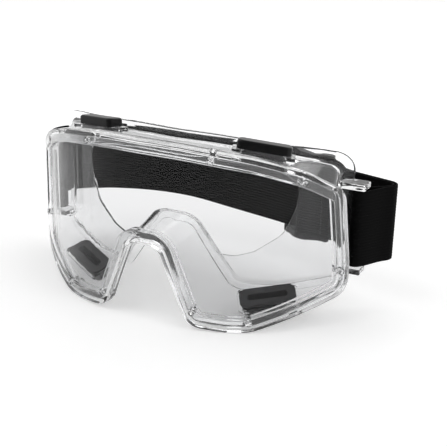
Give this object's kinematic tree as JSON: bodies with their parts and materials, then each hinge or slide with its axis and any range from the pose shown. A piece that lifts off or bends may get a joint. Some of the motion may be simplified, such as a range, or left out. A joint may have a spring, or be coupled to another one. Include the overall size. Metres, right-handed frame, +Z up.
{
  "type": "safety goggles",
  "caption": "Clear wraparound safety goggles: soft vented frame, curved clear lens held in a groove, and a wide elastic head strap with a sliding adjuster.",
  "frame": {"origin": "middle of the bounding box in plan, at the height of the lobes' lower edge", "axes": "the lens faces -Y and the face is at +Y, +X is the wearer's left, +Z is up as worn"},
  "size_m": [0.2061, 0.1108, 0.0946],
  "materials": {
    "clear_vinyl": "clear flexible vinyl, glossy",
    "clear_polycarbonate": "clear polycarbonate, polished",
    "black_plastic": "black moulded plastic, satin",
    "grey_plastic": "dark grey moulded plastic, matte",
    "black_elastic": "black woven elastic webbing, fine lengthwise ribs"
  },
  "bodies": {
    "goggles": {"frame_shell": "clear_vinyl", "lens": "clear_polycarbonate", "stud_brow_left": "clear_vinyl", "stud_temple_left": "clear_vinyl", "stud_side_left": "clear_vinyl", "stud_lobe_left": "clear_vinyl", "stud_nose_left": "clear_vinyl", "stud_brow_right": "clear_vinyl", "stud_temple_right": "clear_vinyl", "stud_side_right": "clear_vinyl", "stud_lobe_right": "clear_vinyl", "stud_nose_right": "clear_vinyl", "vent_base_top_left": "grey_plastic", "vent_base_bottom_left": "grey_plastic", "vent_base_top_right": "grey_plastic", "vent_base_bottom_right": "grey_plastic", "vent_hood_top_left": "black_plastic", "vent_hood_bottom_left": "black_plastic", "vent_hood_top_right": "black_plastic", "vent_hood_bottom_right": "black_plastic", "strap_band": "black_elastic", "strap_return": "black_elastic"},
    "slider": {"strap_slider": "black_plastic"}
  },
  "joints": [
    {"name": "strap_adjust", "type": "slide", "parent": "goggles", "child": "slider", "axis": [-0.9713, 0.238, 0], "range_m": [-0.026, 0.007], "deforming": ["strap_return"]}
  ]
}
